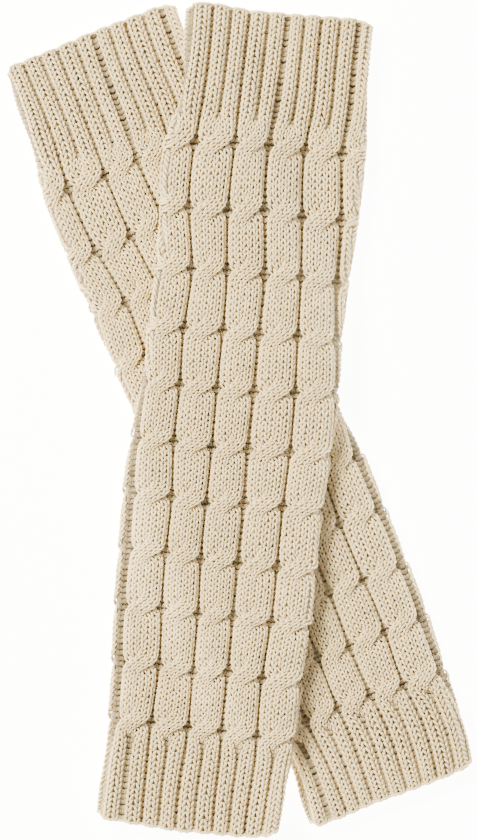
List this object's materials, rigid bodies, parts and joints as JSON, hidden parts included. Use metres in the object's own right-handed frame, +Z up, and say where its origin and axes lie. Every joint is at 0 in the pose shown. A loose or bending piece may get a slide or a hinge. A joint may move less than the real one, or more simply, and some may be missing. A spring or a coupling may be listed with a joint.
{
  "type": "fingerless gloves",
  "caption": "Long fingerless gloves in cream cable knit with ribbed cuffs, open at both ends, laid flat and crossed one over the other.",
  "frame": {"origin": "centre of the pair's box, on the surface the lower glove lies on", "axes": "+Z up, +Y along the crossed pair towards the hand cuffs, +X to the right"},
  "size_m": [0.1896, 0.3328, 0.0183],
  "materials": {
    "cream_knit": "soft matt yarn"
  },
  "bodies": {
    "lower_glove": {"lower_hand_cuff": "cream_knit", "lower_body_front": "cream_knit", "lower_body_back": "cream_knit", "lower_body_left_fold": "cream_knit", "lower_body_right_fold": "cream_knit", "lower_arm_cuff": "cream_knit"},
    "upper_glove": {"upper_body_front": "cream_knit", "upper_body_back": "cream_knit", "upper_body_left_fold": "cream_knit", "upper_body_right_fold": "cream_knit"},
    "upper_hand_end": {"upper_hand_cuff": "cream_knit"},
    "upper_arm_end": {"upper_arm_cuff": "cream_knit"}
  },
  "joints": [
    {"name": "upper_glove_lift", "type": "slide", "parent": "lower_glove", "child": "upper_glove", "axis": [0, 0, 1], "range_m": [0, 0.12]},
    {"name": "upper_hand_cuff_bend", "type": "hinge", "parent": "upper_glove", "child": "upper_hand_end", "pos_m": [0.0109, 0.1159, 0.0183], "axis": [0.9966, -0.082, 0], "range_deg": [0, 60]},
    {"name": "upper_arm_cuff_bend", "type": "hinge", "parent": "upper_glove", "child": "upper_arm_end", "pos_m": [-0.0152, -0.1248, 0.0183], "axis": [-0.9945, 0.1047, 0], "range_deg": [0, 60]}
  ]
}
